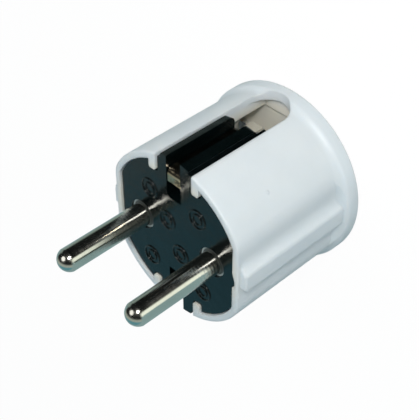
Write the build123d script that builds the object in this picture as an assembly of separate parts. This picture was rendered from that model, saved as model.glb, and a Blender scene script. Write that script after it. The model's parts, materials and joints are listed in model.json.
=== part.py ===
from build123d import *
import os

# Angled mains plug with two round pins and earth contacts in side channels.
# It stands on its flat rear end. Z runs from the rear face to the pin tips,
# X runs from pin to pin, and the cord outlet points along -Y. Millimetres.
# The forms are built about the pins' middle plane. main() then moves them all
# along Y, so that the origin lies under the middle of the whole plug.

# Hood: one white moulding, open at the front rim
HOOD_LENGTH = 31.3
HOOD_RADIUS = 18.3
HOOD_WALL = 1.4
FLAT_DEPTH = 1.7
HOOD_EDGE = 6.0
CAVITY_EDGE = 1.2
REAR_WALL = 1.4
RIM_EDGE = 0.35
OVERLAP = 0.7

# Rear flange of the hood
FLANGE_STEP = 0.9
FLANGE_HEIGHT = 5.1
FLANGE_FOOT = 1.6
FLANGE_FOOT_RISE = 0.65
FLAT_FOOT_HOLLOW = 3.5
FLAT_FOOT_START = 0.2
FLANGE_BACK_EDGE = 0.9

# Guide rib on each flat
RIB_HEIGHT = 1.5
RIB_BASE_TOP = 3.4
RIB_CREST_TOP = 1.9
RIB_BOTTOM = -2.1
RIB_SETBACK = 0.6
RIB_EDGE = 0.45
RIB_CREST_EDGE = 1.2
RIB_ROOT_EDGE = 3.6

# Earth slots, with an inward wall on each side
SLOT_WIDTH = 9.5
SLOT_END = 2.6
OUTLET_SLOT_GAP = 0.6
SLOT_WALL = 1.75
SLOT_WALL_SINK = 4.6
SLOT_WALL_TIP = 0.5
SLOT_BACK_STEP = 0.7
SLOT_BACK_WALL = 1.2

# Gate mark of the moulding on the curved side
GATE_ANGLE = 44.2
GATE_HEIGHT = 20.3
GATE_RADIUS = 0.35
GATE_DEPTH = 0.12

# Pins
PIN_SPACING = 19.0
PIN_RADIUS = 2.4
PIN_PROUD = 20.0
PIN_DOME = 1.9
PIN_SHANK_RADIUS = 2.0
PIN_SPIGOT_RADIUS = 1.7
RIVET_RADIUS = 2.8
RIVET_HEIGHT = 0.6

# Front insert: one black moulding
INSERT_RECESS = 0.4
INSERT_REAR = 13.3
INSERT_GAP = 0.25
PLATE_THICKNESS = 4.5
CHANNEL_WIDTH = 3.7
CHANNEL_SHIFT = -0.3
CHANNEL_FLOOR = 9.0
FIN_PROUD = 0.1
FIN_GAP = 0.25
FIN_CORNER = 1.5
LEDGE_WIDTH = 0.8
LEDGE_DROP = 0.8
LEDGE_REAR = 11.5
LEDGE_DEPTH = 3.0
FIN_END_GAP = 0.3
NOTCH_EDGE = 0.5
PIN_SLEEVE_RADIUS = 4.6
SLEEVE_WEB = 4.0
KEY_HEIGHT = 0.7
KEY_TOP = 2.2
KEY_CREST = -0.6
KEY_BOTTOM = -2.0
KEY_GAP = 0.12

# Inner carrier: one ivory moulding that holds the terminals
CARRIER_REAR = 3.9
CARRIER_SIDE_GAP = 1.0
CARRIER_TOP_SINK = 6.9
CARRIER_GAP = 0.3
COLLAR_RADIUS = 3.1
COLLAR_RECESS = 0.5
COLLAR_GAP = 0.06
PIN_GAP = 0.05
CARRIER_WEB = 1.6
POCKET_GAP = 0.3

# Earth strap: one sprung strip bent to a U
STRAP_WIDTH = 3.3
STRAP_THICKNESS = 0.8
STRAP_SINK = 2.6
STRAP_NOSE_LENGTH = 3.0
STRAP_NOSE_RECESS = 0.1
STRAP_BEND = 1.5
STRAP_PAD_WIDTH = 9.0
STRAP_PAD_HEIGHT = 17.0

# Terminals: brass blocks with a screw and a wire guard each
BLOCK_WIDTH = 6.0
BLOCK_TOP_SINK = 8.3
BLOCK_BOTTOM = -3.4
BLOCK_REAR = 5.9
EARTH_BLOCK_WIDTH = 6.0
EARTH_BLOCK_BOTTOM = 3.4
EARTH_SPIGOT_RADIUS = 1.0
EARTH_SPIGOT_HEIGHT = 0.5
BLOCK_CHAMFER = 0.3
TERMINAL_SCREW_SHIFT = 0.6
TERMINAL_SCREW_RADIUS = 1.5
TERMINAL_SCREW_END_GAP = 0.2
SCREW_HEAD_RADIUS = 2.3
SCREW_HEAD_HEIGHT = 1.8
DRIVER_SLOT_WIDTH = 0.8
DRIVER_SLOT_DEPTH = 0.9
SCREW_POINT = 0.35
SCREW_HEAD_EDGE = 0.3
GUARD_SIZE = 5.2
GUARD_THICKNESS = 1.0
GUARD_LIP = 0.7
THREAD_GAP = 0.05
HOLE_GAP = 0.15

# Assembly screw from the rear, and its nut in the insert
ASSEMBLY_RADIUS = 2.0
ASSEMBLY_LENGTH = 16.0
ASSEMBLY_HEAD_RADIUS = 3.5
ASSEMBLY_HEAD_HEIGHT = 2.2
HEAD_SINK = 0.2
ASSEMBLY_HOLE_GAP = 0.25
HEAD_HOLE_GAP = 0.4
BOSS_WALL = 1.4
NUT_ACROSS_FLATS = 7.0
NUT_THICKNESS = 3.2
NUT_GAP = 0.15
POST_RIVET_GAP = 0.2
POST_GUARD_GAP = 0.9

# Cord outlet neck on the side of the hood, and its bush
NECK_RISE = 1.0
NECK_RADIUS = 5.6
NECK_REACH = 23.2
NECK_WALL = 1.4
NECK_EDGE = 0.5
BUSH_GAP = 0.1
BUSH_BORE_RADIUS = 3.3
BUSH_LIP_RADIUS = 5.0
BUSH_LIP = 0.8
BUSH_LIP_EDGE = 0.4
BUSH_INNER_END = 17.2

# Cord clamp inside, behind the outlet
CLAMP_DEPTH = 3.5
CLAMP_POST_REAR = 5.4
CLAMP_CORD_WIDTH = 8.6
CLAMP_HALF_WIDTH = 8.7
CLAMP_THICKNESS = 1.6
CLAMP_ARCH = 0.9
CLAMP_CORNER_INSET = 0.85
CLAMP_LEDGE = 10.9
CLAMP_SCREW_OFFSET = 6.5
CLAMP_SCREW_RADIUS = 1.25
CLAMP_SCREW_LENGTH = 5.4
CLAMP_HEAD_RADIUS = 2.1
CLAMP_HEAD_HEIGHT = 1.4

# Places that follow from the sizes above
EPS_CUT = 2.0
PIN_X = PIN_SPACING / 2
PIN_TIP = HOOD_LENGTH + PIN_PROUD
HOOD_FLAT = HOOD_RADIUS - FLAT_DEPTH
FLANGE_RADIUS = HOOD_RADIUS + FLANGE_STEP
CAVITY_RADIUS = HOOD_RADIUS - HOOD_WALL
CAVITY_FLAT = HOOD_FLAT - HOOD_WALL
FLANGE_CREST = FLANGE_HEIGHT - FLANGE_FOOT * FLANGE_STEP / FLANGE_FOOT_RISE
FOOT_RADIUS = HOOD_RADIUS + FLANGE_FOOT_RISE
FOOT_END = FLANGE_HEIGHT - FLANGE_FOOT
BLOCK_TOP = CAVITY_RADIUS - BLOCK_TOP_SINK
GUARD_TOP = BLOCK_TOP + GUARD_THICKNESS
TERMINAL_SCREW_LENGTH = GUARD_TOP - EARTH_BLOCK_BOTTOM - TERMINAL_SCREW_END_GAP
POST_LOW = RIVET_RADIUS + POST_RIVET_GAP
POST_HIGH = BLOCK_TOP - GUARD_LIP - POST_GUARD_GAP
CARRIER_HALF_HEIGHT = CAVITY_RADIUS - CARRIER_TOP_SINK
CLAMP_REACH = CARRIER_HALF_HEIGHT + CLAMP_DEPTH
CLAMP_CORNER = CLAMP_DEPTH / 2 - CLAMP_CORNER_INSET
INSERT_FRONT = HOOD_LENGTH - INSERT_RECESS
SLOT_HALF = SLOT_WIDTH / 2
SLOT_WALL_REACH = HOOD_RADIUS - SLOT_WALL_SINK
OUTLET_AXIS = NECK_RISE + NECK_RADIUS
OUTLET_SLOT_END = OUTLET_AXIS + NECK_RADIUS + OUTLET_SLOT_GAP
FIN_SIDE = SLOT_HALF - FIN_GAP
FIN_RADIUS = HOOD_RADIUS + FIN_PROUD
STRAP_OUTER = HOOD_RADIUS - STRAP_SINK
BRIDGE_REAR = INSERT_REAR - STRAP_THICKNESS
CARRIER_FRONT = BRIDGE_REAR
BLOCK_FRONT = CARRIER_FRONT - CARRIER_WEB
COLLAR_FRONT = INSERT_FRONT - COLLAR_RECESS
SCREW_X = PIN_X - TERMINAL_SCREW_SHIFT
SCREW_Z = (BLOCK_REAR + BLOCK_FRONT) / 2
HEAD_SEAT = HEAD_SINK + ASSEMBLY_HEAD_HEIGHT
NECK_BORE = NECK_RADIUS - NECK_WALL
EARTH_SPIGOT_Y = (EARTH_BLOCK_BOTTOM + BLOCK_TOP) / 2
CLAMP_SCREW_Y = -(CARRIER_HALF_HEIGHT + CLAMP_REACH) / 2
CLAMP_SEAT = CLAMP_POST_REAR - CLAMP_THICKNESS
FRAME_SHIFT = (NECK_REACH + BUSH_LIP - FLANGE_RADIUS) / 2


def slab(outline, z_low, z_high):
    """Prism of a flat outline between two heights."""
    return extrude(Pos(0, 0, z_low) * outline, z_high - z_low)


def box(x_low, x_high, y_low, y_high, z_low, z_high):
    """Box given by its limits."""
    size = (x_high - x_low, y_high - y_low, z_high - z_low)
    middle = ((x_low + x_high) / 2, (y_low + y_high) / 2, (z_low + z_high) / 2)
    return Pos(*middle) * Box(*size)


def rod(radius, z_low, z_high, x=0.0, y=0.0):
    """Cylinder along Z between two heights."""
    return slab(Pos(x, y) * Circle(radius), z_low, z_high)


def rod_along_y(radius, y_low, y_high, x, z):
    """Cylinder along Y between two places."""
    middle = Pos(x, (y_low + y_high) / 2, z)
    return middle * Rot(90, 0, 0) * Cylinder(radius, y_high - y_low)


def flatted_circle(radius, flat, edge):
    """Round outline cut by a flat on each side, with eased corners."""
    outline = Circle(radius) & Rectangle(2 * flat, 2 * radius + EPS_CUT)
    return fillet(outline.vertices(), edge)


def mirrored_y(solid):
    """The same form on the other side of the pins' plane."""
    return solid.mirror(Plane.XZ)


def slot_cutter(end):
    """Long slot with a round end, cut through the +Y side."""
    centre = end + SLOT_HALF
    top = HOOD_LENGTH + EPS_CUT
    straight = box(-SLOT_HALF, SLOT_HALF, SLOT_WALL_REACH, FLANGE_RADIUS + EPS_CUT, centre, top)
    round_end = rod_along_y(SLOT_HALF, SLOT_WALL_REACH, FLANGE_RADIUS + EPS_CUT, 0, centre)
    return straight + round_end


def slot_walls(end, back):
    """Inward walls beside a slot, joined across its rear end."""
    outer = SLOT_HALF + SLOT_WALL
    block = box(-outer, outer, SLOT_WALL_REACH, HOOD_RADIUS, back, HOOD_LENGTH)
    pocket_back = end - SLOT_BACK_STEP
    pocket = box(-SLOT_HALF, SLOT_HALF, 0, HOOD_RADIUS, pocket_back, HOOD_LENGTH)
    walls = block - pocket
    tips = [e for e in walls.edges().filter_by(Axis.Z) if e.center().Y < SLOT_WALL_REACH + OVERLAP]
    return fillet(tips, SLOT_WALL_TIP) & rod(CAVITY_RADIUS + OVERLAP, 0, HOOD_LENGTH)


def guide_rib():
    """Rib on the +X flat: gentle soft slope above, steep step below."""
    crest = HOOD_FLAT + RIB_HEIGHT
    root = HOOD_FLAT - OVERLAP
    seam = RIB_BASE_TOP + RIB_ROOT_EDGE / 2
    profile = Polyline(
        (root, seam),
        (HOOD_FLAT, seam),
        (HOOD_FLAT, RIB_BASE_TOP),
        (crest, RIB_CREST_TOP),
        (crest, RIB_BOTTOM),
        (root, RIB_BOTTOM),
        close=True,
    )
    face = make_face(profile)
    sharp = [v for v in face.vertices() if v.X > HOOD_FLAT and v.Y < 0]
    face = fillet(sharp, RIB_EDGE)
    upper_crest = [v for v in face.vertices() if v.X > HOOD_FLAT and v.Y > 0]
    face = fillet(upper_crest, RIB_CREST_EDGE)
    upper_root = face.vertices().sort_by_distance((HOOD_FLAT, RIB_BASE_TOP, 0))[0]
    face = fillet(upper_root, RIB_ROOT_EDGE)
    rib = slab(face, REAR_WALL, HOOD_LENGTH - RIB_SETBACK)
    front = rib.faces().sort_by(Axis.Z)[-1]
    outer_edges = [e for e in front.edges() if e.center().X > HOOD_FLAT]
    return chamfer(outer_edges, RIB_EDGE)


def flange():
    """Round rear end that grows out of the body in a soft S, with an eased back edge."""
    back_edge = FLANGE_RADIUS - FLANGE_BACK_EDGE
    bottom = Line((0, 0), (back_edge, 0))
    back = RadiusArc((back_edge, 0), (FLANGE_RADIUS, FLANGE_BACK_EDGE), -FLANGE_BACK_EDGE)
    side = Line((FLANGE_RADIUS, FLANGE_BACK_EDGE), (FLANGE_RADIUS, FLANGE_CREST))
    shoulder = TangentArc((FLANGE_RADIUS, FLANGE_CREST), (FOOT_RADIUS, FOOT_END), tangent=(0, 1))
    foot = TangentArc((HOOD_RADIUS, FLANGE_HEIGHT), (FOOT_RADIUS, FOOT_END), tangent=(0, -1))
    top = Line((HOOD_RADIUS, FLANGE_HEIGHT), (0, FLANGE_HEIGHT))
    axis = Line((0, FLANGE_HEIGHT), (0, 0))
    profile = make_face(bottom + back + side + shoulder + foot + top + axis)
    whole = revolve(Plane.XZ * profile, Axis.Z)
    cutter = flat_foot_cutter()
    return whole - cutter - cutter.mirror(Plane.YZ)


def flat_foot_cutter():
    """Space above the hollow slope that joins the +X flat to the flange."""
    inside = HOOD_FLAT - FLAT_FOOT_START
    outside = FLANGE_RADIUS + EPS_CUT
    slope = RadiusArc((inside, FLANGE_HEIGHT), (FOOT_RADIUS, FOOT_END), -FLAT_FOOT_HOLLOW)
    edges = Polyline(
        (FOOT_RADIUS, FOOT_END),
        (outside, FOOT_END),
        (outside, FLANGE_HEIGHT + EPS_CUT),
        (inside, FLANGE_HEIGHT + EPS_CUT),
        (inside, FLANGE_HEIGHT),
    )
    outline = make_face(slope + edges)
    return extrude(Plane.XZ * outline, FLANGE_RADIUS, both=True)


def key_outline(gap):
    """Small one-sided key beside the +X flat of the insert."""
    flat = CAVITY_FLAT - INSERT_GAP
    root = flat - OVERLAP
    crest = flat + KEY_HEIGHT + gap
    profile = Polyline(
        (root, KEY_TOP + gap),
        (flat, KEY_TOP + gap),
        (crest, KEY_CREST + gap),
        (crest, KEY_BOTTOM - gap),
        (root, KEY_BOTTOM - gap),
        close=True,
    )
    return make_face(profile)


def gate_mark():
    """Shallow round dimple on the curved side."""
    cutter = Rot(0, 90, 0) * Cylinder(GATE_RADIUS, 2 * GATE_DEPTH)
    return Rot(0, 0, GATE_ANGLE) * Pos(HOOD_RADIUS, 0, GATE_HEIGHT) * cutter


def hood():
    outline = flatted_circle(HOOD_RADIUS, HOOD_FLAT, HOOD_EDGE)
    body = slab(outline, 0, HOOD_LENGTH)
    body = fillet(body.faces().sort_by(Axis.Z)[-1].edges(), RIM_EDGE)
    rib = guide_rib()
    body = body + flange() + rib + rib.mirror(Plane.YZ)
    neck = rod_along_y(NECK_RADIUS, -NECK_REACH, 0, 0, OUTLET_AXIS)
    mouth = neck.faces().sort_by(Axis.Y)[0]
    body = body + fillet(mouth.edges(), NECK_EDGE)
    cavity = slab(flatted_circle(CAVITY_RADIUS, CAVITY_FLAT, CAVITY_EDGE), REAR_WALL, HOOD_LENGTH + EPS_CUT)
    body = body - cavity
    outlet_back = OUTLET_SLOT_END - SLOT_BACK_STEP - SLOT_BACK_WALL
    body = body + slot_walls(SLOT_END, REAR_WALL - OVERLAP)
    body = body + mirrored_y(slot_walls(OUTLET_SLOT_END, outlet_back))
    body = body - slot_cutter(SLOT_END) - mirrored_y(slot_cutter(OUTLET_SLOT_END))
    boss = rod(ASSEMBLY_HEAD_RADIUS + HEAD_HOLE_GAP + BOSS_WALL, REAR_WALL - OVERLAP, CARRIER_REAR)
    head_hole = rod(ASSEMBLY_HEAD_RADIUS + HEAD_HOLE_GAP, -EPS_CUT, HEAD_SEAT)
    shank_hole = rod(ASSEMBLY_RADIUS + ASSEMBLY_HOLE_GAP, 0, CARRIER_REAR + EPS_CUT)
    body = body + boss - head_hole - shank_hole
    for x in (-PIN_X, PIN_X):
        post_radius = (POST_HIGH - POST_LOW) / 2
        body = body + rod(post_radius, REAR_WALL - OVERLAP, BLOCK_REAR, x, POST_LOW + post_radius)
    outlet = rod_along_y(NECK_BORE, -NECK_REACH - EPS_CUT, -SLOT_WALL_REACH, 0, OUTLET_AXIS)
    key_groove = slab(key_outline(KEY_GAP), INSERT_FRONT - PLATE_THICKNESS, HOOD_LENGTH + EPS_CUT)
    return body - outlet - key_groove - gate_mark()


def fin(side, tall_rear, ledge_rear):
    """Fin beside an earth channel: low root, tall crest and an outer ledge."""
    inner = CHANNEL_WIDTH / 2 + side * CHANNEL_SHIFT
    ledge_inner = FIN_SIDE - LEDGE_WIDTH
    root = CHANNEL_FLOOR - EPS_CUT
    low_top = SLOT_WALL_REACH - FIN_GAP
    low = box(inner, FIN_SIDE, root, low_top, INSERT_REAR, INSERT_FRONT)
    tall = box(inner, ledge_inner, root, FIN_RADIUS, tall_rear, INSERT_FRONT)
    tall = tall & rod(FIN_RADIUS, 0, HOOD_LENGTH)
    top_face = tall.faces().sort_by(Axis.Y)[-1]
    tall = fillet(top_face.edges().sort_by(Axis.Z)[0], FIN_CORNER)
    ledge_top = FIN_RADIUS - LEDGE_DROP
    ledge_low = ledge_top - LEDGE_DEPTH
    ledge = box(ledge_inner, FIN_SIDE, ledge_low, FIN_RADIUS, ledge_rear, INSERT_FRONT)
    ledge = ledge + box(ledge_inner, FIN_SIDE, root, ledge_low, tall_rear, INSERT_FRONT)
    ledge = ledge & rod(ledge_top, 0, HOOD_LENGTH)
    whole = low + tall + ledge
    return whole if side > 0 else whole.mirror(Plane.YZ)


def front_insert():
    radius = CAVITY_RADIUS - INSERT_GAP
    flat = CAVITY_FLAT - INSERT_GAP
    plate_rear = INSERT_FRONT - PLATE_THICKNESS
    outline = flatted_circle(radius, flat, CAVITY_EDGE)
    plate = slab(outline, plate_rear, INSERT_FRONT)
    plate = plate + slab(key_outline(0), plate_rear, INSERT_FRONT)
    notch_inner = FIN_SIDE
    notch_outer = SLOT_HALF + SLOT_WALL + FIN_GAP
    notch_floor = SLOT_WALL_REACH - FIN_GAP
    for side in (-1, 1):
        for up in (-1, 1):
            x = side * (notch_inner + notch_outer) / 2
            y = up * (notch_floor + HOOD_RADIUS / 2)
            notch = RectangleRounded(notch_outer - notch_inner, HOOD_RADIUS, NOTCH_EDGE)
            plate = plate - slab(Pos(x, y) * notch, 0, HOOD_LENGTH)
    fin_zone = box(-FIN_SIDE, FIN_SIDE, -HOOD_RADIUS, HOOD_RADIUS, 0, HOOD_LENGTH)
    column = box(-FIN_SIDE, FIN_SIDE, -CHANNEL_FLOOR, CHANNEL_FLOOR, INSERT_REAR, INSERT_FRONT)
    insert = (plate - fin_zone) + column
    short_rear = OUTLET_SLOT_END + SLOT_HALF + FIN_END_GAP
    for side, ledge_rear in ((-1, INSERT_REAR + FIN_CORNER), (1, LEDGE_REAR)):
        insert = insert + fin(side, INSERT_REAR, ledge_rear)
        insert = insert + mirrored_y(fin(side, short_rear, short_rear))
        sleeve = rod(PIN_SLEEVE_RADIUS, INSERT_REAR, plate_rear + OVERLAP, side * PIN_X)
        insert = insert + (sleeve & slab(outline, 0, HOOD_LENGTH))
        web_x = sorted((side * (FIN_SIDE - OVERLAP), side * PIN_X))
        half_web = SLEEVE_WEB / 2
        insert = insert + box(*web_x, -half_web, half_web, INSERT_REAR, plate_rear + OVERLAP)
    channel_low = CHANNEL_SHIFT - CHANNEL_WIDTH / 2
    channel_high = CHANNEL_SHIFT + CHANNEL_WIDTH / 2
    for up in (-1, 1):
        y_limits = sorted((up * CHANNEL_FLOOR, up * (HOOD_RADIUS + EPS_CUT)))
        insert = insert - box(channel_low, channel_high, *y_limits, 0, HOOD_LENGTH)
    for x in (-PIN_X, PIN_X):
        insert = insert - rod(COLLAR_RADIUS + COLLAR_GAP, 0, HOOD_LENGTH, x)
    nut_room = RegularPolygon(NUT_ACROSS_FLATS / 2 + NUT_GAP, 6, major_radius=False)
    insert = insert - slab(nut_room, 0, INSERT_REAR + NUT_THICKNESS + NUT_GAP)
    screw_end = HEAD_SEAT + ASSEMBLY_LENGTH
    insert = insert - rod(ASSEMBLY_RADIUS + ASSEMBLY_HOLE_GAP, 0, screw_end + EPS_CUT / 2)
    spigot_room = INSERT_REAR + EARTH_SPIGOT_HEIGHT + NUT_GAP
    return insert - rod(EARTH_SPIGOT_RADIUS + HOLE_GAP, 0, spigot_room, 0, EARTH_SPIGOT_Y)


def inner_carrier():
    outline = Rectangle(2 * (CAVITY_FLAT - CARRIER_SIDE_GAP), 2 * CARRIER_HALF_HEIGHT)
    outline = outline & Circle(CAVITY_RADIUS - CARRIER_GAP)
    body = slab(outline, CARRIER_REAR, CARRIER_FRONT)
    clamp_base = box(
        -CLAMP_HALF_WIDTH, CLAMP_HALF_WIDTH, -CLAMP_REACH, 0, CLAMP_POST_REAR, CARRIER_FRONT
    )
    half_cord = CLAMP_CORD_WIDTH / 2
    cord_way = box(
        -half_cord, half_cord, -CLAMP_REACH - EPS_CUT, -CARRIER_HALF_HEIGHT, 0, CLAMP_LEDGE
    )
    body = body + clamp_base - cord_way
    body = body - rod(ASSEMBLY_RADIUS + ASSEMBLY_HOLE_GAP, 0, CARRIER_FRONT + EPS_CUT)
    half_block = BLOCK_WIDTH / 2 + POCKET_GAP
    open_top = CARRIER_HALF_HEIGHT + EPS_CUT
    for x in (-PIN_X, PIN_X):
        body = body + rod(COLLAR_RADIUS, CARRIER_FRONT - OVERLAP, COLLAR_FRONT, x)
        body = body - box(
            x - half_block, x + half_block, BLOCK_BOTTOM - POCKET_GAP, open_top, 0, BLOCK_FRONT
        )
        body = body - rod(PIN_SHANK_RADIUS + PIN_GAP, 0, HOOD_LENGTH, x)
    half_earth = EARTH_BLOCK_WIDTH / 2 + POCKET_GAP
    earth_low = EARTH_BLOCK_BOTTOM - POCKET_GAP
    body = body - box(-half_earth, half_earth, earth_low, open_top, 0, CARRIER_FRONT + EPS_CUT)
    thread = CLAMP_SCREW_RADIUS + THREAD_GAP
    thread_end = CLAMP_SEAT + CLAMP_SCREW_LENGTH + HOLE_GAP
    for x in (-CLAMP_SCREW_OFFSET, CLAMP_SCREW_OFFSET):
        body = body - rod(thread, 0, thread_end, x, CLAMP_SCREW_Y)
    return body


def pin(x):
    """Turned pin: domed tip, free stretch, shoulder, thinner shank and a riveted spigot."""
    crease = PIN_TIP - PIN_DOME
    shaft = rod(PIN_RADIUS, INSERT_FRONT, crease) + rod(PIN_SHANK_RADIUS, BLOCK_FRONT, COLLAR_FRONT)
    shoulder_middle = Pos(0, 0, (COLLAR_FRONT + INSERT_FRONT) / 2)
    shaft = shaft + shoulder_middle * Cone(PIN_SHANK_RADIUS, PIN_RADIUS, COLLAR_RECESS)
    dome_radius = (PIN_RADIUS**2 + PIN_DOME**2) / (2 * PIN_DOME)
    ball = Pos(0, 0, PIN_TIP - dome_radius) * Sphere(dome_radius)
    dome = ball & rod(PIN_RADIUS + EPS_CUT, crease, PIN_TIP + EPS_CUT)
    spigot = rod(PIN_SPIGOT_RADIUS, BLOCK_REAR, BLOCK_FRONT)
    rivet = rod(RIVET_RADIUS, BLOCK_REAR - RIVET_HEIGHT, BLOCK_REAR)
    return Pos(x, 0, 0) * (shaft + dome + spigot + rivet)


def terminal(side):
    """Brass block on the rear of a pin, tapped for its screw."""
    x = side * PIN_X
    half = BLOCK_WIDTH / 2
    block = box(x - half, x + half, BLOCK_BOTTOM, BLOCK_TOP, BLOCK_REAR, BLOCK_FRONT)
    block = chamfer(block.edges().filter_by(Axis.Z), BLOCK_CHAMFER)
    block = block - rod(PIN_SPIGOT_RADIUS + THREAD_GAP, 0, HOOD_LENGTH, x)
    return block - terminal_thread(side * SCREW_X)


def terminal_thread(x):
    """Tapped hole for a terminal screw, from the top of its block."""
    depth = GUARD_TOP - TERMINAL_SCREW_LENGTH - HOLE_GAP
    radius = TERMINAL_SCREW_RADIUS + THREAD_GAP
    return rod_along_y(radius, depth, BLOCK_TOP + EPS_CUT, x, SCREW_Z)


def slotted_screw(radius, length, head_radius, head_height):
    """Slotted screw on the Z axis, its head's underside at zero."""
    shank = rod(radius, -length, 0)
    shank = chamfer(shank.faces().sort_by(Axis.Z)[0].edges(), SCREW_POINT)
    head = rod(head_radius, 0, head_height)
    head = fillet(head.faces().sort_by(Axis.Z)[-1].edges(), SCREW_HEAD_EDGE)
    half = DRIVER_SLOT_WIDTH / 2
    slot = box(-half, half, -head_radius, head_radius, head_height - DRIVER_SLOT_DEPTH, head_height)
    return shank + head - slot


def terminal_screw(x):
    screw = slotted_screw(
        TERMINAL_SCREW_RADIUS, TERMINAL_SCREW_LENGTH, SCREW_HEAD_RADIUS, SCREW_HEAD_HEIGHT
    )
    return Pos(x, GUARD_TOP, SCREW_Z) * Rot(-90, 0, 0) * screw


def wire_guard(x):
    """Clamping plate under a terminal screw, with a lip over the block's rear."""
    half = GUARD_SIZE / 2
    lip_top = BLOCK_REAR - HOLE_GAP
    plate_front = BLOCK_FRONT - HOLE_GAP
    plate = box(x - half, x + half, BLOCK_TOP, GUARD_TOP, lip_top - GUARD_LIP, plate_front)
    lip = box(x - half, x + half, BLOCK_TOP - GUARD_LIP, GUARD_TOP, lip_top - GUARD_LIP, lip_top)
    hole = rod_along_y(TERMINAL_SCREW_RADIUS + HOLE_GAP, 0, GUARD_TOP + EPS_CUT, x, SCREW_Z)
    return plate + lip - hole


def strap_arm():
    """Arm in the +Y channel, from the bridge to the bent nose at the front."""
    middle = STRAP_OUTER - STRAP_THICKNESS / 2
    bridge = BRIDGE_REAR + STRAP_THICKNESS / 2
    nose = INSERT_FRONT - STRAP_NOSE_RECESS - STRAP_THICKNESS / 2
    path = FilletPolyline(
        (0, bridge),
        (middle, bridge),
        (middle, nose),
        (STRAP_OUTER - STRAP_NOSE_LENGTH, nose),
        radius=STRAP_BEND - STRAP_THICKNESS / 2,
    )
    strip = trace(path, line_width=STRAP_THICKNESS)
    return Pos(CHANNEL_SHIFT, 0, 0) * extrude(Plane.YZ * strip, STRAP_WIDTH / 2, both=True)


def earth_strap():
    arm = strap_arm()
    pad = RectangleRounded(STRAP_PAD_WIDTH, STRAP_PAD_HEIGHT, STRAP_BEND)
    strap = arm + mirrored_y(arm) + slab(pad, BRIDGE_REAR, INSERT_REAR)
    strap = strap - rod(ASSEMBLY_RADIUS + ASSEMBLY_HOLE_GAP, 0, HOOD_LENGTH)
    return strap - rod(EARTH_SPIGOT_RADIUS + THREAD_GAP, 0, HOOD_LENGTH, 0, EARTH_SPIGOT_Y)


def earth_terminal():
    half = EARTH_BLOCK_WIDTH / 2
    block = box(-half, half, EARTH_BLOCK_BOTTOM, BLOCK_TOP, BLOCK_REAR, BRIDGE_REAR)
    spigot_front = INSERT_REAR + EARTH_SPIGOT_HEIGHT
    block = block + rod(EARTH_SPIGOT_RADIUS, BRIDGE_REAR, spigot_front, 0, EARTH_SPIGOT_Y)
    return block - terminal_thread(0)


def cord_arch(height):
    """Shallow arch where the cord crosses the clamp."""
    half = CLAMP_CORD_WIDTH / 2
    crown = ThreePointArc((-half, height), (0, height - CLAMP_ARCH), (half, height))
    outline = make_face(crown + Line((half, height), (-half, height)))
    depth = CLAMP_REACH - CARRIER_HALF_HEIGHT
    return Pos(0, -CARRIER_HALF_HEIGHT, 0) * extrude(Plane.XZ * outline, depth)


def cord_clamp():
    """Moulded saddle across the cord, hollowed where it grips."""
    half = CLAMP_HALF_WIDTH
    bar = box(-half, half, -CLAMP_REACH, -CARRIER_HALF_HEIGHT, CLAMP_SEAT, CLAMP_POST_REAR)
    bar = fillet(bar.edges().filter_by(Axis.Z), CLAMP_CORNER)
    bar = bar + cord_arch(CLAMP_SEAT) - cord_arch(CLAMP_POST_REAR)
    for x in (-CLAMP_SCREW_OFFSET, CLAMP_SCREW_OFFSET):
        bar = bar - rod(CLAMP_SCREW_RADIUS + HOLE_GAP, 0, HOOD_LENGTH, x, CLAMP_SCREW_Y)
    return bar


def clamp_screw(x):
    screw = slotted_screw(
        CLAMP_SCREW_RADIUS, CLAMP_SCREW_LENGTH, CLAMP_HEAD_RADIUS, CLAMP_HEAD_HEIGHT
    )
    return Pos(x, CLAMP_SCREW_Y, CLAMP_SEAT) * Rot(180, 0, 0) * screw


def assembly_screw():
    screw = slotted_screw(
        ASSEMBLY_RADIUS, ASSEMBLY_LENGTH, ASSEMBLY_HEAD_RADIUS, ASSEMBLY_HEAD_HEIGHT
    )
    return Pos(0, 0, HEAD_SEAT) * Rot(180, 0, 0) * screw


def assembly_nut():
    nut = slab(
        RegularPolygon(NUT_ACROSS_FLATS / 2, 6, major_radius=False),
        INSERT_REAR,
        INSERT_REAR + NUT_THICKNESS,
    )
    return nut - rod(ASSEMBLY_RADIUS + THREAD_GAP, 0, HOOD_LENGTH)


def outlet_bush():
    """Rubber bush in the outlet neck, with a lip over the neck's mouth."""
    tube = rod_along_y(NECK_BORE - BUSH_GAP, -NECK_REACH, -BUSH_INNER_END, 0, OUTLET_AXIS)
    lip = rod_along_y(BUSH_LIP_RADIUS, -NECK_REACH - BUSH_LIP, -NECK_REACH, 0, OUTLET_AXIS)
    lip = fillet(lip.faces().sort_by(Axis.Y)[0].edges(), BUSH_LIP_EDGE)
    bore = rod_along_y(BUSH_BORE_RADIUS, -NECK_REACH - EPS_CUT, 0, 0, OUTLET_AXIS)
    return tube + lip - bore


def main():
    parts = {
        "hood": hood(),
        "front_insert": front_insert(),
        "inner_carrier": inner_carrier(),
        "earth_strap": earth_strap(),
        "earth_terminal": earth_terminal(),
        "earth_screw": terminal_screw(0),
        "earth_wire_guard": wire_guard(0),
        "cord_clamp": cord_clamp(),
        "assembly_screw": assembly_screw(),
        "assembly_nut": assembly_nut(),
        "outlet_bush": outlet_bush(),
    }
    for name, side in (("left", -1), ("right", 1)):
        parts["pin_" + name] = pin(side * PIN_X)
        parts["terminal_" + name] = terminal(side)
        parts["terminal_screw_" + name] = terminal_screw(side * SCREW_X)
        parts["wire_guard_" + name] = wire_guard(side * SCREW_X)
        parts["clamp_screw_" + name] = clamp_screw(side * CLAMP_SCREW_OFFSET)
    os.makedirs("parts", exist_ok=True)
    for name, solid in parts.items():
        export_step(Pos(0, FRAME_SHIFT, 0) * solid, os.path.join("parts", name + ".step"))


main()
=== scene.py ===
import json
import math

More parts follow.
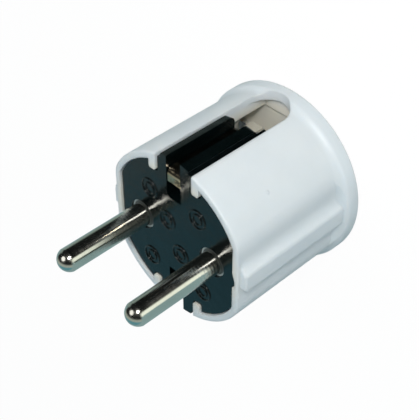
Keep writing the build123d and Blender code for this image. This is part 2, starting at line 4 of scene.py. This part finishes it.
import bmesh
import bpy
from mathutils import Matrix, Vector


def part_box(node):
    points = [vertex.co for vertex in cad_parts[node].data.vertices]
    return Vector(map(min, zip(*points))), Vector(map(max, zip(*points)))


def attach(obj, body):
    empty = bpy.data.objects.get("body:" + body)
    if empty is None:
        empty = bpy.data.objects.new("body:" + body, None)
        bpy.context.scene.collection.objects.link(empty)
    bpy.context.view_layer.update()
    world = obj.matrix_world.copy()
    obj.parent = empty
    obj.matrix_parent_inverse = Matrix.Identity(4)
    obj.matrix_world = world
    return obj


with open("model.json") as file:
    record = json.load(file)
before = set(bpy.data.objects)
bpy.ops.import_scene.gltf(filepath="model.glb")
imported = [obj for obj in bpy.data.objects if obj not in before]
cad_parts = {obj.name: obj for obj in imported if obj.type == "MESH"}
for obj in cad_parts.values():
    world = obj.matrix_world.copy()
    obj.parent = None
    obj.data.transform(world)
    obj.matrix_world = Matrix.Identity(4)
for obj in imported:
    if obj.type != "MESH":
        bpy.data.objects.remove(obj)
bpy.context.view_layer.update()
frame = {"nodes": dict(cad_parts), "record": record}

MM = 0.001

# Places on the plug, in metres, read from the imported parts
_, hood_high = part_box("hood")
_, insert_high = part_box("front_insert")
pin_low, pin_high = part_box("pin_right")
PIN_AXIS_Y = (pin_low.y + pin_high.y) / 2
PIN_AXIS_X = (pin_low.x + pin_high.x) / 2
FACE_Z = insert_high.z
RIM_Z = hood_high.z
PIN_TIP_Z = pin_high.z

# Start and end of the stretches over which a finish, or its painted light and shade, changes, as
# heights or radii
TURNING_MARKS = (FACE_Z, (FACE_Z + PIN_TIP_Z) / 2)
PIN_DOME = (PIN_TIP_Z - 4.0 * MM, PIN_TIP_Z - 1.8 * MM)
# Height where the strap's nose gives way to its run, which is painted dark as shade
STRAP_NOSE = (FACE_Z - 2.6 * MM, FACE_Z - 1.8 * MM)
COLLAR_ENDS = (FACE_Z - 4.0 * MM, FACE_Z - 2.0 * MM)
# Radii from each pin's axis where the painted shadow next to the pin gives way to the painted lit
# ring
COLLAR_PAINTED_SHADE_RADII = (2.7 * MM, 2.9 * MM)
# Radii over which the hood goes from its painted paler, warmer inner tone to its outer tone
HOOD_PAINTED_INSIDE_RADII = (hood_high.x - 4.2 * MM, hood_high.x - 2.0 * MM)

# Hood: how far light spreads in the plastic, and how wide its edges look rounded
HOOD_SCATTER = 2.2 * MM
HOOD_SOFT_EDGE = 0.45 * MM

# Where the two tints of a mottled finish lie in its noise
DARKER_AT = 0.3
LIGHTER_AT = 0.7

# Camera: its place is measured from the middle of the hood's front rim
CAMERA_FROM_RIM = Vector((105.68, 130.50, 94.74)) * MM
CAMERA_RIGHT = Vector((0.70159, 0.00033, -0.71258))
CAMERA_UP = Vector((-0.46795, 0.75437, -0.46038))
FOCAL_PIXELS = 1022.54
PHOTO_PIXELS = 420
SENSOR_MM = 36.0
CLIP_START = 0.01
CLIP_END = 20.0

# Tent that gloss and metal mirror: its radius, and where its sides and front meet
TENT_RADIUS = 0.9
TENT_LEFT_TO_RIGHT = (-0.2 * TENT_RADIUS, 0.2 * TENT_RADIUS)
TENT_SIDES_TO_FRONT = (0.2 * TENT_RADIUS, 0.42 * TENT_RADIUS)

# Lamps: direction from the plug, distance and width in m, power in W
KEY_LAMP = {"direction": (0.44, 0.74, 0.52), "distance": 0.26, "size": 0.06, "power": 0.30}
FRONT_LAMP = {"direction": (-0.21, 0.41, 0.89), "distance": 0.35, "size": 0.21, "power": 0.15}
LAMP_COLOUR = (1.0, 0.99, 0.97)

# World: strength, and (place, colour) on the way from straight below, 0, to above, 1
STUDIO_STRENGTH = 0.395
LIGHT_FROM_BELOW = (0.2, (0.42, 0.64, 0.74))
LIGHT_FROM_ABOVE = (0.65, (0.94, 0.99, 1.0))

# Floor: width and gap under the plug in m, glow, and its share for camera rays
FLOOR_SIZE = 3.0
FLOOR_GAP = 0.02 * MM
FLOOR_GLOW = 1.03
FLOOR_GLOW_SHARE = 0.93

# Plain rings on the front face: centres from the pins' middle, in mm, and sizes in m
FACE_RINGS = ((-7.0, 8.1), (-2.3, 3.0), (5.8, 8.1), (-7.1, -9.2), (1.1, -3.7), (7.1, -9.3))
RING_RADII = (2.0 * MM, 1.1 * MM)
RING_BEAD = 0.2 * MM
RING_RISE = 0.25 * MM
RING_SUNK = 0.03 * MM
RING_STEPS = 72
BEAD_STEPS = 8


class Shader:
    """A Principled material and the nodes that feed it."""

    def __init__(self, name, **values):
        self.material = bpy.data.materials.new(name)
        self.material.use_nodes = True
        self.tree = self.material.node_tree
        self.surface = self.tree.nodes["Principled BSDF"]
        self.set(**values)
        self.place = self.node("ShaderNodeTexCoord").outputs["Object"]

    def set(self, **values):
        for key, value in values.items():
            socket = self.surface.inputs[key.replace("_", " ")]
            if socket.type == "RGBA":
                value = (*value, 1.0)
            socket.default_value = value

    def node(self, kind, **settings):
        made = self.tree.nodes.new(kind)
        for key, value in settings.items():
            setattr(made, key, value)
        return made

    def link(self, source, target):
        self.tree.links.new(source, target)

    def noise(self, cells, detail=3.0, roughness=0.5, stretch=None):
        """Noise by place on the part, in cells per metre."""
        texture = self.node("ShaderNodeTexNoise")
        texture.inputs["Scale"].default_value = cells
        texture.inputs["Detail"].default_value = detail
        texture.inputs["Roughness"].default_value = roughness
        source = self.place
        if stretch is not None:
            mapping = self.node("ShaderNodeMapping")
            mapping.inputs["Scale"].default_value = stretch
            self.link(source, mapping.inputs["Vector"])
            source = mapping.outputs["Vector"]
        self.link(source, texture.inputs["Vector"])
        return texture.outputs["Fac"]

    def ramp(self, source, *stops):
        """Colour ramp from (place, colour) stops."""
        ramp = self.node("ShaderNodeValToRGB")
        set_stops(ramp, stops)
        self.link(source, ramp.inputs["Fac"])
        return ramp.outputs["Color"]

    def mottle(self, source, darker, lighter):
        """Colour that wanders with a noise between two tints."""
        return self.ramp(source, (DARKER_AT, darker), (LIGHTER_AT, lighter))

    def range(self, source, low, high):
        """Maps 0 to 1 onto low to high."""
        mapped = self.node("ShaderNodeMapRange")
        mapped.inputs["To Min"].default_value = low
        mapped.inputs["To Max"].default_value = high
        self.link(source, mapped.inputs["Value"])
        return mapped.outputs["Result"]

    def spread(self, source, start, end):
        """0 to 1 while the source goes from start to end."""
        mapped = self.node("ShaderNodeMapRange")
        mapped.inputs["From Min"].default_value = start
        mapped.inputs["From Max"].default_value = end
        self.link(source, mapped.inputs["Value"])
        return mapped.outputs["Result"]

    def product(self, first, second):
        times = self.node("ShaderNodeMath", operation="MULTIPLY")
        self.link(first, times.inputs[0])
        self.link(second, times.inputs[1])
        return times.outputs[0]

    def vector(self, operation, source, other=None):
        """Vector maths node on a source, with a fixed second value where it has one."""
        maths = self.node("ShaderNodeVectorMath", operation=operation)
        self.link(source, maths.inputs[0])
        if other is not None:
            maths.inputs[1].default_value = other
        return maths

    def along(self, axis, start, end):
        """0 to 1 along an axis of the part, between two places."""
        parts = self.node("ShaderNodeSeparateXYZ")
        self.link(self.place, parts.inputs[0])
        return self.spread(parts.outputs[axis], start, end)

    def from_axis(self, start, end, x=0.0):
        """0 to 1 between two distances from the lines along Z at -x and +x."""
        offset = self.vector("SUBTRACT", self.place, (0.0, PIN_AXIS_Y, 0.0)).outputs["Vector"]
        folded = self.vector("ABSOLUTE", offset).outputs["Vector"]
        aside = self.vector("SUBTRACT", folded, (x, 0.0, 0.0)).outputs["Vector"]
        flat = self.vector("MULTIPLY", aside, (1.0, 1.0, 0.0)).outputs["Vector"]
        length = self.vector("LENGTH", flat).outputs["Value"]
        return self.spread(length, start, end)

    def blend(self, amount, first, second):
        """Colour that goes from the first to the second source."""
        mix = self.node("ShaderNodeMix", data_type="RGBA")
        colours = [socket for socket in mix.inputs if socket.type == "RGBA"]
        self.link(amount, mix.inputs["Factor"])
        self.link(first, colours[0])
        self.link(second, colours[1])
        return next(socket for socket in mix.outputs if socket.type == "RGBA")

    def colour(self, source):
        self.link(source, self.surface.inputs["Base Color"])

    def rough(self, source, low, high):
        self.link(self.range(source, low, high), self.surface.inputs["Roughness"])

    def bump(self, source, height, under=None):
        """Adds relief of a height in metres, on top of an earlier bump."""
        bump = self.node("ShaderNodeBump")
        bump.inputs["Strength"].default_value = 1.0
        bump.inputs["Distance"].default_value = height
        self.link(source, bump.inputs["Height"])
        if under is not None:
            self.link(under, bump.inputs["Normal"])
        self.link(bump.outputs["Normal"], self.surface.inputs["Normal"])
        return bump.outputs["Normal"]


def set_stops(ramp, stops):
    """Fills a colour ramp node with (place, colour) stops."""
    elements = ramp.color_ramp.elements
    while len(elements) < len(stops):
        elements.new(0.5)
    for element, (place, colour) in zip(elements, stops):
        element.position = place
        element.color = (*colour, 1.0)


def white_plastic():
    shader = Shader("hood_white_plastic", Subsurface_Weight=0.4, Subsurface_Scale=HOOD_SCATTER)
    shader.set(Subsurface_Radius=(0.9, 1.0, 1.1))
    patches = shader.noise(cells=90.0, detail=2.0)
    outside = shader.mottle(patches, darker=(0.79, 0.855, 0.90), lighter=(0.835, 0.895, 0.935))
    # Painted light and shade: the hood's inner surfaces are painted paler and warmer than its outer
    # ones
    inside_painted_light = shader.mottle(patches, darker=(0.95, 0.93, 0.81), lighter=(0.97, 0.95, 0.85))
    shader.colour(shader.blend(shader.from_axis(*HOOD_PAINTED_INSIDE_RADII), inside_painted_light, outside))
    shader.rough(shader.noise(cells=400.0, detail=4.0), low=0.34, high=0.46)
    soft_edges = shader.node("ShaderNodeBevel", samples=4)
    soft_edges.inputs["Radius"].default_value = HOOD_SOFT_EDGE
    grain = shader.noise(cells=2600.0, detail=2.0)
    shader.bump(grain, height=0.012 * MM, under=soft_edges.outputs["Normal"])
    return shader.material


def black_plastic():
    shader = Shader("insert_black_plastic", Specular_IOR_Level=0.46)
    cloud = shader.noise(cells=160.0)
    shader.colour(shader.mottle(cloud, darker=(0.001, 0.003, 0.003), lighter=(0.002, 0.005, 0.0055)))
    shader.rough(shader.noise(cells=700.0, detail=5.0), low=0.12, high=0.24)
    flow = shader.bump(shader.noise(cells=240.0), height=0.11 * MM)
    shader.bump(shader.noise(cells=5200.0, detail=2.0), height=0.004 * MM, under=flow)
    return shader.material


def pin_nickel():
    """Nickel with marks round the pin, which stretch its gloss lengthwise below the dome."""
    shader = Shader("pin_nickel", Metallic=1.0, Anisotropic_Rotation=0.25)
    dome = shader.along("Z", *PIN_DOME)
    shader.link(shader.range(dome, low=0.85, high=0.0), shader.surface.inputs["Anisotropic"])
    around = shader.node("ShaderNodeTangent", direction_type="RADIAL", axis="Z")
    shader.link(around.outputs["Tangent"], shader.surface.inputs["Tangent"])
    tint = shader.noise(cells=240.0)
    shader.colour(shader.mottle(tint, darker=(0.66, 0.655, 0.585), lighter=(0.74, 0.735, 0.665)))
    marks = shader.noise(cells=600.0, roughness=0.6, stretch=(0.08, 0.08, 6.0))
    shader.rough(marks, low=0.1, high=0.26)
    shaft_marks = shader.product(marks, shader.range(dome, low=1.0, high=0.0))
    fine = shader.bump(shaft_marks, height=0.008 * MM)
    shader.bump(turning_marks(shader), height=0.014 * MM, under=fine)
    return shader.material


def turning_marks(shader):
    """Fine rings round a pin, strongest next to the face and gone halfway up."""
    near = shader.range(shader.along("Z", *TURNING_MARKS), low=1.0, high=0.0)
    rings = shader.node("ShaderNodeTexWave", bands_direction="Z")
    rings.inputs["Scale"].default_value = 420.0
    rings.inputs["Distortion"].default_value = 1.5
    rings.inputs["Detail"].default_value = 3.0
    shader.link(shader.place, rings.inputs["Vector"])
    return shader.product(near, rings.outputs["Fac"])


def strap_nickel():
    shader = Shader("strap_nickel", Metallic=1.0)
    tint = shader.noise(cells=500.0)
    nose = shader.mottle(tint, darker=(0.42, 0.36, 0.25), lighter=(0.56, 0.50, 0.38))
    # Painted shade: the strap's run behind the nose is painted near black for the shadow between the
    # fins
    arm_painted_shade = shader.mottle(tint, darker=(0.06, 0.055, 0.045), lighter=(0.09, 0.085, 0.07))
    shader.colour(shader.blend(shader.along("Z", *STRAP_NOSE), arm_painted_shade, nose))
    shader.rough(shader.noise(cells=1500.0), low=0.12, high=0.24)
    dents = shader.noise(cells=500.0, detail=2.0, stretch=(2.0, 1.0, 1.0))
    shader.bump(dents, height=0.06 * MM)
    return shader.material


def ivory_plastic():
    """Ivory moulding; its collars are painted paler and teal as if lit, with a painted shadow next
    to the pins.
    """
    shader = Shader("carrier_ivory_plastic")
    patches = shader.noise(cells=200.0)
    body = shader.mottle(patches, darker=(0.70, 0.66, 0.56), lighter=(0.76, 0.73, 0.63))
    # Painted light and shade at the collars: a paler teal ring as if lit, and a near-black ring as
    # the shadow next to each pin
    lip_painted_light = shader.mottle(patches, darker=(0.54, 0.62, 0.62), lighter=(0.60, 0.68, 0.68))
    gap_painted_shadow = shader.mottle(patches, darker=(0.07, 0.08, 0.075), lighter=(0.10, 0.11, 0.105))
    collars = shader.blend(shader.from_axis(*COLLAR_PAINTED_SHADE_RADII, x=PIN_AXIS_X), gap_painted_shadow, lip_painted_light)
    shader.colour(shader.blend(shader.along("Z", *COLLAR_ENDS), body, collars))
    shader.rough(shader.noise(cells=900.0), low=0.4, high=0.6)
    shader.bump(shader.noise(cells=3000.0), height=0.02 * MM)
    return shader.material


def clamp_plastic():
    shader = Shader("clamp_plastic")
    patches = shader.noise(cells=300.0)
    shader.colour(shader.mottle(patches, darker=(0.60, 0.60, 0.57), lighter=(0.68, 0.68, 0.65)))
    shader.rough(shader.noise(cells=900.0), low=0.42, high=0.6)
    shader.bump(shader.noise(cells=3000.0), height=0.02 * MM)
    return shader.material


def brass():
    shader = Shader("brass", Metallic=1.0)
    tint = shader.noise(cells=300.0)
    shader.colour(shader.mottle(tint, darker=(0.62, 0.44, 0.18), lighter=(0.75, 0.56, 0.26)))
    milling = shader.noise(cells=900.0, roughness=0.6, stretch=(6.0, 1.0, 0.2))
    shader.rough(milling, low=0.22, high=0.42)
    shader.bump(milling, height=0.01 * MM)
    return shader.material


def screw_steel():
    shader = Shader("screw_steel", Metallic=1.0)
    tint = shader.noise(cells=400.0)
    shader.colour(shader.mottle(tint, darker=(0.52, 0.53, 0.54), lighter=(0.64, 0.65, 0.66)))
    shader.rough(shader.noise(cells=1200.0), low=0.2, high=0.4)
    shader.bump(shader.noise(cells=2400.0), height=0.008 * MM)
    return shader.material


def bush_rubber():
    shader = Shader("bush_rubber")
    patches = shader.noise(cells=400.0)
    shader.colour(shader.mottle(patches, darker=(0.015, 0.016, 0.017), lighter=(0.03, 0.031, 0.032)))
    shader.rough(shader.noise(cells=1200.0), low=0.5, high=0.75)
    shader.bump(shader.noise(cells=3200.0), height=0.03 * MM)
    return shader.material


def rays_that_see_white(tree):
    """1 for camera, mirror and transmission rays, else 0."""
    light_path = tree.nodes.new("ShaderNodeLightPath")
    total = light_path.outputs["Is Camera Ray"]
    for kind in ("Is Glossy Ray", "Is Transmission Ray"):
        either = tree.nodes.new("ShaderNodeMath")
        either.operation = "MAXIMUM"
        tree.links.new(total, either.inputs[0])
        tree.links.new(light_path.outputs[kind], either.inputs[1])
        total = either.outputs[0]
    return total


def floor_material():
    """Pale floor: shaded normally, and lifted towards white where the camera sees it."""
    shader = Shader("floor_pale", Base_Color=(0.8, 0.8, 0.8), Roughness=0.7)
    tree = shader.tree
    glow = shader.node("ShaderNodeEmission")
    glow.inputs["Strength"].default_value = FLOOR_GLOW
    seen = rays_that_see_white(tree)
    amount = shader.node("ShaderNodeMath", operation="MULTIPLY")
    amount.inputs[1].default_value = FLOOR_GLOW_SHARE
    shader.link(seen, amount.inputs[0])
    mix = shader.node("ShaderNodeMixShader")
    shader.link(amount.outputs[0], mix.inputs["Fac"])
    shader.link(shader.surface.outputs[0], mix.inputs[1])
    shader.link(glow.outputs[0], mix.inputs[2])
    shader.link(mix.outputs[0], tree.nodes["Material Output"].inputs["Surface"])
    return shader.material


def dress(materials):
    """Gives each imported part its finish, by the part's material slot."""
    for row in frame["record"]["subparts"]:
        node = frame["nodes"][row["node"]]
        node.data.materials.clear()
        node.data.materials.append(materials[row["material_slot"]])


def new_piece(name, mesh, material):
    piece = bpy.data.objects.new(name, mesh)
    bpy.context.scene.collection.objects.link(piece)
    mesh.materials.append(material)
    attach(piece, "root")


def add_face_rings(material):
    """Plain raised rings on the insert's front face."""
    shape = bmesh.new()
    for x, y in FACE_RINGS:
        for radius in RING_RADII:
            centre = Vector((x * MM, y * MM + PIN_AXIS_Y, FACE_Z))
            sweep_ring(shape, centre, radius)
    mesh = bpy.data.meshes.new("face_rings")
    shape.to_mesh(mesh)
    shape.free()
    for face in mesh.polygons:
        face.use_smooth = True
    new_piece("face_rings", mesh, material)


def sweep_ring(shape, centre, radius):
    """Half-round bead swept round a circle, sunk a little in the face."""
    loops = []
    for step in range(RING_STEPS):
        turn = 2 * math.pi * step / RING_STEPS
        outward = Vector((math.cos(turn), math.sin(turn), 0.0))
        loop = []
        for place in range(BEAD_STEPS + 1):
            angle = math.pi * place / BEAD_STEPS
            across = outward * (radius - RING_BEAD * math.cos(angle))
            rise = Vector((0.0, 0.0, RING_RISE * math.sin(angle) - RING_SUNK))
            loop.append(shape.verts.new(centre + across + rise))
        loops.append(loop)
    for one, other in zip(loops, loops[1:] + loops[:1]):
        for place in range(BEAD_STEPS):
            shape.faces.new((one[place], one[place + 1], other[place + 1], other[place]))


def stage_plane(name, centre, normal, size, material):
    """Square plane of the set, facing along its normal."""
    mesh = bpy.data.meshes.new(name)
    shape = bmesh.new()
    bmesh.ops.create_grid(shape, x_segments=1, y_segments=1, size=size / 2)
    shape.to_mesh(mesh)
    shape.free()
    mesh.materials.append(material)
    plane = bpy.data.objects.new(name, mesh)
    bpy.context.scene.collection.objects.link(plane)
    turn = Vector(normal).to_track_quat("Z", "Y")
    plane.matrix_world = Matrix.LocRotScale(Vector(centre), turn, None)
    return plane


def soft_light(name, target, direction, distance, size, power):
    """Round area lamp that looks at the target from a direction."""
    data = bpy.data.lights.new(name, "AREA")
    data.shape = "DISK"
    data.size = size
    data.energy = power
    data.color = LAMP_COLOUR
    lamp = bpy.data.objects.new(name, data)
    bpy.context.scene.collection.objects.link(lamp)
    away = Vector(direction).normalized()
    turn = away.to_track_quat("Z", "Y")
    lamp.matrix_world = Matrix.LocRotScale(target + away * distance, turn, None)


def tent_material():
    """What gloss and metal mirror: dark above (+Y), a bright band at +X and a dim one at -X,
    and in front (+Z) a warm band over teal."""
    shader = Shader("tent_glow")
    height = shader.along("Y", -TENT_RADIUS, TENT_RADIUS)
    dark = (0.006, 0.007, 0.007)
    grey = (0.28, 0.41, 0.43)
    teal = (0.115, 0.31, 0.38)
    warm = (0.42, 0.46, 0.42)
    bright = (1.15, 1.2, 1.08)
    dim = (0.26, 0.33, 0.31)
    right = shader.ramp(height, (0.545, grey), (0.57, bright), (0.75, bright), (0.80, dark))
    left = shader.ramp(height, (0.40, grey), (0.60, dim), (0.70, dim), (0.76, dark))
    front = shader.ramp(height, (0.17, teal), (0.24, warm), (0.32, warm), (0.44, dark))
    sides = shader.blend(shader.along("X", *TENT_LEFT_TO_RIGHT), left, right)
    whole = shader.blend(shader.along("Z", *TENT_SIDES_TO_FRONT), sides, front)
    glow = shader.node("ShaderNodeEmission")
    shader.link(whole, glow.inputs["Color"])
    shader.link(glow.outputs[0], shader.tree.nodes["Material Output"].inputs["Surface"])
    return shader.material


def make_tent(middle):
    """Round tent of the studio, which only mirrors see."""
    mesh = bpy.data.meshes.new("tent")
    shape = bmesh.new()
    bmesh.ops.create_uvsphere(shape, u_segments=48, v_segments=24, radius=TENT_RADIUS)
    shape.to_mesh(mesh)
    shape.free()
    mesh.materials.append(tent_material())
    tent = bpy.data.objects.new("tent", mesh)
    bpy.context.scene.collection.objects.link(tent)
    tent.location = middle
    tent.visible_camera = False
    tent.visible_diffuse = False
    tent.visible_shadow = False
    tent.visible_transmission = False


def light_from_around(tree):
    """Studio light by direction: bluer and dimmer from below (-Y)."""
    direction = tree.nodes.new("ShaderNodeTexCoord").outputs["Generated"]
    parts = tree.nodes.new("ShaderNodeSeparateXYZ")
    tree.links.new(direction, parts.inputs[0])
    height = tree.nodes.new("ShaderNodeMapRange")
    height.inputs["From Min"].default_value = -1.0
    tree.links.new(parts.outputs["Y"], height.inputs["Value"])
    ramp = tree.nodes.new("ShaderNodeValToRGB")
    set_stops(ramp, (LIGHT_FROM_BELOW, LIGHT_FROM_ABOVE))
    tree.links.new(height.outputs["Result"], ramp.inputs["Fac"])
    return ramp.outputs["Color"]


def make_world():
    """Studio light for the plug, and plain white for camera, mirror and transmission rays."""
    world = bpy.data.worlds.new("studio")
    world.use_nodes = True
    tree = world.node_tree
    backdrop = tree.nodes["Background"]
    backdrop.inputs["Color"].default_value = (1.0, 1.0, 1.0, 1.0)
    backdrop.inputs["Strength"].default_value = 1.0
    studio = tree.nodes.new("ShaderNodeBackground")
    tree.links.new(light_from_around(tree), studio.inputs["Color"])
    studio.inputs["Strength"].default_value = STUDIO_STRENGTH
    mix = tree.nodes.new("ShaderNodeMixShader")
    tree.links.new(rays_that_see_white(tree), mix.inputs["Fac"])
    tree.links.new(studio.outputs[0], mix.inputs[1])
    tree.links.new(backdrop.outputs[0], mix.inputs[2])
    tree.links.new(mix.outputs[0], tree.nodes["World Output"].inputs["Surface"])
    bpy.context.scene.world = world


def make_camera():
    data = bpy.data.cameras.new("camera")
    data.sensor_fit = "HORIZONTAL"
    data.sensor_width = SENSOR_MM
    data.lens = SENSOR_MM * FOCAL_PIXELS / PHOTO_PIXELS
    data.clip_start = CLIP_START
    data.clip_end = CLIP_END
    camera = bpy.data.objects.new("camera", data)
    bpy.context.scene.collection.objects.link(camera)
    back = CAMERA_RIGHT.cross(CAMERA_UP).normalized()
    turn = Matrix((CAMERA_RIGHT, CAMERA_UP, back)).transposed().to_4x4()
    rim_middle = Vector((0.0, PIN_AXIS_Y, RIM_Z))
    camera.matrix_world = Matrix.Translation(rim_middle + CAMERA_FROM_RIM) @ turn
    bpy.context.scene.camera = camera


def make_set():
    middle = Vector((0.0, PIN_AXIS_Y, RIM_Z / 2))
    floor = stage_plane("floor", (0.0, 0.0, -FLOOR_GAP), (0, 0, 1), FLOOR_SIZE, floor_material())
    floor.visible_glossy = False
    make_tent(middle)
    soft_light("key", middle, **KEY_LAMP)
    soft_light("front", middle, **FRONT_LAMP)
    make_world()


insert_finish = black_plastic()
dress({
    "hood_white": white_plastic(),
    "insert_black": insert_finish,
    "carrier_ivory": ivory_plastic(),
    "clamp_plastic": clamp_plastic(),
    "pin_nickel": pin_nickel(),
    "strap_nickel": strap_nickel(),
    "brass": brass(),
    "screw_steel": screw_steel(),
    "bush_rubber": bush_rubber(),
})
add_face_rings(insert_finish)
make_camera()
make_set()
bpy.context.scene.view_settings.view_transform = "Standard"
